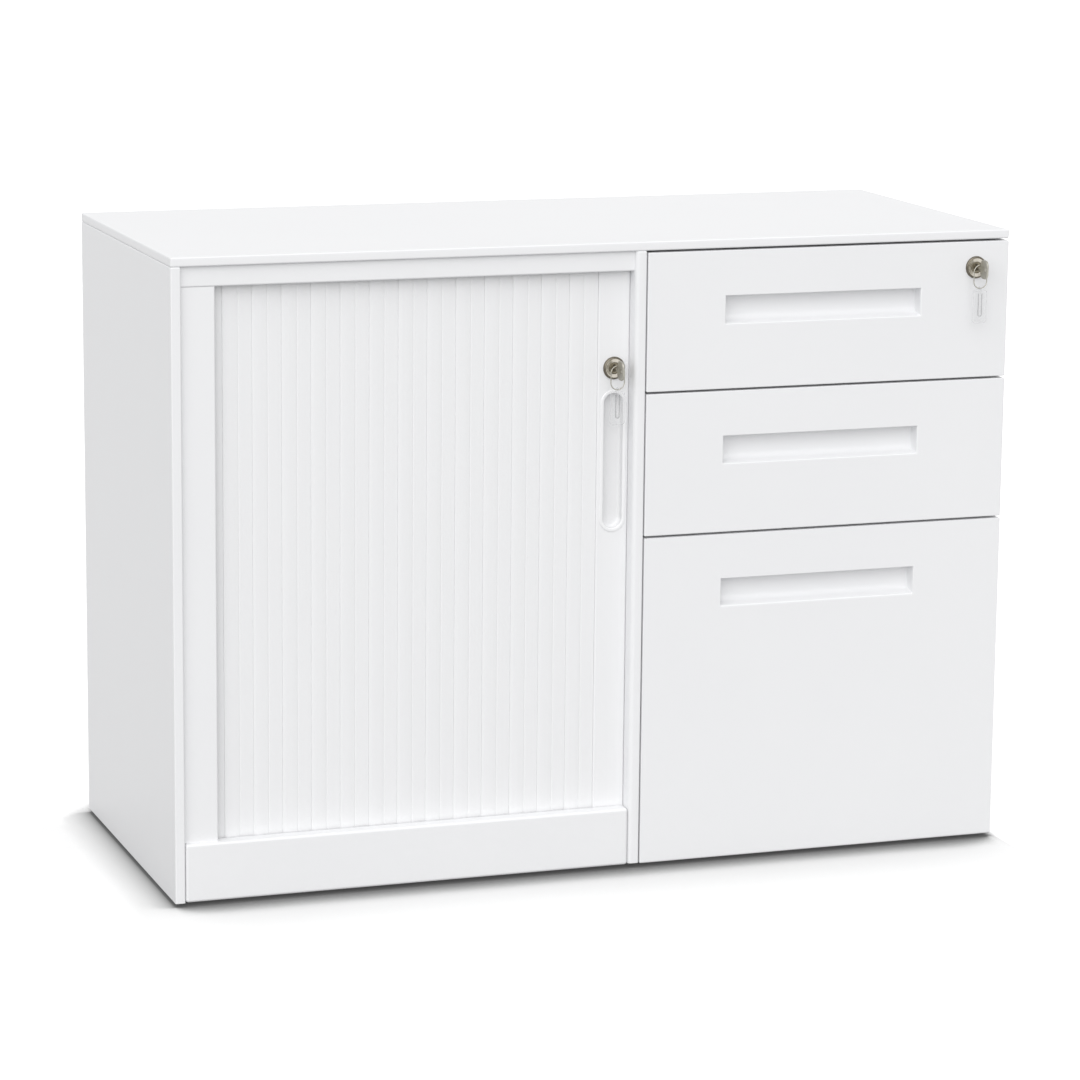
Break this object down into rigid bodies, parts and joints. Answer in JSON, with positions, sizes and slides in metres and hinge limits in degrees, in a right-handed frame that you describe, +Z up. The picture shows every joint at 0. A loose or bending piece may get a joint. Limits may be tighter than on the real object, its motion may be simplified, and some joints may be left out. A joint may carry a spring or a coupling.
{
  "type": "tambour filing cabinet",
  "caption": "Low white steel office cabinet with a sideways tambour cupboard beside shallow drawers and a deep file drawer, each bay with a key lock.",
  "frame": {"origin": "on the floor, under the middle of the box round the cabinet and its drawer key", "axes": "+X to the right seen from the front, +Y from the front to the back, +Z up"},
  "size_m": [1, 0.4616, 0.73],
  "materials": {
    "white_steel": "satin powder coat",
    "white_plastic": "satin",
    "track_plastic": "satin",
    "zinc_steel": "zinc plated",
    "nickel": "nickel plated",
    "clear_plastic": "clear",
    "foot_plastic": "matt"
  },
  "bodies": {
    "cabinet": {"top_panel": "white_steel", "left_side_panel": "white_steel", "right_side_panel": "white_steel", "divider_panel": "white_steel", "back_panel": "white_steel", "base_panel": "white_steel", "levelling_feet": "foot_plastic", "carcass_screws": "zinc_steel", "header_rail": "white_steel", "left_stile": "white_steel", "plinth_rail": "white_steel", "bottom_track": "track_plastic", "top_track": "track_plastic", "cupboard_floor": "white_steel", "curtain_liner": "white_steel", "shelf": "white_steel", "shelf_clips": "zinc_steel", "cabinet_runners": "zinc_steel"},
    "tambour_lead": {"lead_slat": "white_plastic", "finger_pull": "white_plastic", "tambour_lock_housing": "nickel", "slat_pair_01": "white_plastic"},
    "tambour_lock": {"tambour_lock_plug": "nickel", "tambour_lock_cam": "zinc_steel", "tambour_key": "nickel"},
    "tambour_ring": {"tambour_key_ring": "nickel"},
    "tambour_tag": {"tambour_key_tag": "clear_plastic"},
    "slat_pair_02": {"slat_pair_02": "white_plastic"},
    "slat_pair_03": {"slat_pair_03": "white_plastic"},
    "slat_pair_04": {"slat_pair_04": "white_plastic"},
    "slat_pair_05": {"slat_pair_05": "white_plastic"},
    "slat_pair_06": {"slat_pair_06": "white_plastic"},
    "slat_pair_07": {"slat_pair_07": "white_plastic"},
    "slat_pair_08": {"slat_pair_08": "white_plastic"},
    "slat_pair_09": {"slat_pair_09": "white_plastic"},
    "slat_pair_10": {"slat_pair_10": "white_plastic"},
    "slat_pair_11": {"slat_pair_11": "white_plastic"},
    "slat_pair_12": {"slat_pair_12": "white_plastic"},
    "slat_pair_13": {"slat_pair_13": "white_plastic"},
    "slat_pair_14": {"slat_pair_14": "white_plastic"},
    "top_drawer": {"top_drawer_front": "white_steel", "top_drawer_box": "white_steel", "top_drawer_runners": "zinc_steel", "drawer_lock_housing": "nickel"},
    "top_drawer_middle": {"top_drawer_middle_runners": "zinc_steel"},
    "centre_drawer": {"centre_drawer_front": "white_steel", "centre_drawer_box": "white_steel", "centre_drawer_runners": "zinc_steel"},
    "centre_drawer_middle": {"centre_drawer_middle_runners": "zinc_steel"},
    "file_drawer": {"file_drawer_front": "white_steel", "file_drawer_box": "white_steel", "file_drawer_runners": "zinc_steel", "hanging_rails": "zinc_steel"},
    "file_drawer_middle": {"file_drawer_middle_runners": "zinc_steel"},
    "drawer_lock": {"drawer_lock_plug": "nickel", "drawer_lock_cam": "zinc_steel", "drawer_key": "nickel"},
    "drawer_ring": {"drawer_key_ring": "nickel"},
    "drawer_tag": {"drawer_key_tag": "clear_plastic"},
    "lock_bar": {"lock_bar": "zinc_steel"}
  },
  "joints": [
    {"name": "tambour_slide", "type": "slide", "parent": "cabinet", "child": "tambour_lead", "axis": [-1, 0, 0], "range_m": [0, 0.4487]},
    {"name": "slat_pair_02_slide", "type": "slide", "parent": "cabinet", "child": "slat_pair_02", "axis": [-1, 0.0046, 0], "range_m": [0, 0.41511]},
    {"name": "slat_pair_03_slide", "type": "slide", "parent": "cabinet", "child": "slat_pair_03", "axis": [-1, 0.01, 0], "range_m": [0, 0.38152]},
    {"name": "slat_pair_04_slide", "type": "slide", "parent": "cabinet", "child": "slat_pair_04", "axis": [-0.9999, 0.0164, 0], "range_m": [0, 0.34795]},
    {"name": "slat_pair_05_slide", "type": "slide", "parent": "cabinet", "child": "slat_pair_05", "axis": [-0.9997, 0.0242, 0], "range_m": [0, 0.31439]},
    {"name": "slat_pair_06_slide", "type": "slide", "parent": "cabinet", "child": "slat_pair_06", "axis": [-0.9994, 0.0338, 0], "range_m": [0, 0.28086]},
    {"name": "slat_pair_07_slide", "type": "slide", "parent": "cabinet", "child": "slat_pair_07", "axis": [-0.9989, 0.0461, 0], "range_m": [0, 0.24736]},
    {"name": "slat_pair_08_slide", "type": "slide", "parent": "cabinet", "child": "slat_pair_08", "axis": [-0.9981, 0.0622, 0], "range_m": [0, 0.21391]},
    {"name": "slat_pair_09_slide", "type": "slide", "parent": "cabinet", "child": "slat_pair_09", "axis": [-0.9964, 0.0842, 0], "range_m": [0, 0.18054]},
    {"name": "slat_pair_10_slide", "type": "slide", "parent": "cabinet", "child": "slat_pair_10", "axis": [-0.9932, 0.1161, 0], "range_m": [0, 0.1473]},
    {"name": "slat_pair_11_slide", "type": "slide", "parent": "cabinet", "child": "slat_pair_11", "axis": [-0.9861, 0.1662, 0], "range_m": [0, 0.11429]},
    {"name": "slat_pair_12_slide", "type": "slide", "parent": "cabinet", "child": "slat_pair_12", "axis": [-0.9668, 0.2555, 0], "range_m": [0, 0.08182]},
    {"name": "slat_pair_13_slide", "type": "slide", "parent": "cabinet", "child": "slat_pair_13", "axis": [-0.894, 0.448, 0], "range_m": [0, 0.05089]},
    {"name": "slat_pair_14_slide", "type": "slide", "parent": "cabinet", "child": "slat_pair_14", "axis": [-0.434, 0.9009, 0], "range_m": [0, 0.02742]},
    {"name": "top_drawer_slide", "type": "slide", "parent": "cabinet", "child": "top_drawer", "axis": [0, -1, 0], "range_m": [0, 0.37]},
    {"name": "top_drawer_middle_slide", "type": "slide", "parent": "cabinet", "child": "top_drawer_middle", "axis": [0, -1, 0], "range_m": [0, 0.185]},
    {"name": "centre_drawer_slide", "type": "slide", "parent": "cabinet", "child": "centre_drawer", "axis": [0, -1, 0], "range_m": [0, 0.37]},
    {"name": "centre_drawer_middle_slide", "type": "slide", "parent": "cabinet", "child": "centre_drawer_middle", "axis": [0, -1, 0], "range_m": [0, 0.185]},
    {"name": "file_drawer_slide", "type": "slide", "parent": "cabinet", "child": "file_drawer", "axis": [0, -1, 0], "range_m": [0, 0.37]},
    {"name": "file_drawer_middle_slide", "type": "slide", "parent": "cabinet", "child": "file_drawer_middle", "axis": [0, -1, 0], "range_m": [0, 0.185]},
    {"name": "tambour_lock_turn", "type": "hinge", "parent": "tambour_lead", "child": "tambour_lock", "pos_m": [0.0193, -0.18285, 0.585], "axis": [0, -1, 0], "range_deg": [0, 90]},
    {"name": "tambour_ring_swing", "type": "hinge", "parent": "tambour_lead", "child": "tambour_ring", "pos_m": [0.0193, -0.19385, 0.585], "axis": [0, 1, 0], "range_deg": [-7, 7]},
    {"name": "tambour_tag_swing", "type": "hinge", "parent": "tambour_ring", "child": "tambour_tag", "pos_m": [0.0193, -0.19385, 0.562], "axis": [-1, 0, 0], "range_deg": [0, 45]},
    {"name": "drawer_lock_turn", "type": "hinge", "parent": "top_drawer", "child": "drawer_lock", "pos_m": [0.4585, -0.20085, 0.687], "axis": [0, -1, 0], "range_deg": [0, 90]},
    {"name": "drawer_ring_swing", "type": "hinge", "parent": "top_drawer", "child": "drawer_ring", "pos_m": [0.4585, -0.21185, 0.687], "axis": [0, 1, 0], "range_deg": [-40, 40]},
    {"name": "drawer_tag_swing", "type": "hinge", "parent": "drawer_ring", "child": "drawer_tag", "pos_m": [0.4585, -0.21185, 0.664], "axis": [-1, 0, 0], "range_deg": [0, 45]},
    {"name": "lock_bar_lift", "type": "slide", "parent": "cabinet", "child": "lock_bar", "axis": [0, 0, 1], "range_m": [0, 0.012]}
  ],
  "couplings": [
    {"joint": "slat_pair_02_slide", "follows": "tambour_slide", "ratio": 0.92513},
    {"joint": "slat_pair_03_slide", "follows": "tambour_slide", "ratio": 0.85028},
    {"joint": "slat_pair_04_slide", "follows": "tambour_slide", "ratio": 0.77546},
    {"joint": "slat_pair_05_slide", "follows": "tambour_slide", "ratio": 0.70067},
    {"joint": "slat_pair_06_slide", "follows": "tambour_slide", "ratio": 0.62594},
    {"joint": "slat_pair_07_slide", "follows": "tambour_slide", "ratio": 0.55129},
    {"joint": "slat_pair_08_slide", "follows": "tambour_slide", "ratio": 0.47674},
    {"joint": "slat_pair_09_slide", "follows": "tambour_slide", "ratio": 0.40236},
    {"joint": "slat_pair_10_slide", "follows": "tambour_slide", "ratio": 0.32827},
    {"joint": "slat_pair_11_slide", "follows": "tambour_slide", "ratio": 0.25471},
    {"joint": "slat_pair_12_slide", "follows": "tambour_slide", "ratio": 0.18234},
    {"joint": "slat_pair_13_slide", "follows": "tambour_slide", "ratio": 0.11342},
    {"joint": "slat_pair_14_slide", "follows": "tambour_slide", "ratio": 0.061103},
    {"joint": "top_drawer_middle_slide", "follows": "top_drawer_slide", "ratio": 0.5},
    {"joint": "centre_drawer_middle_slide", "follows": "centre_drawer_slide", "ratio": 0.5},
    {"joint": "file_drawer_middle_slide", "follows": "file_drawer_slide", "ratio": 0.5},
    {"joint": "drawer_lock_turn", "follows": "lock_bar_lift", "rad_per_m": 130.9}
  ]
}
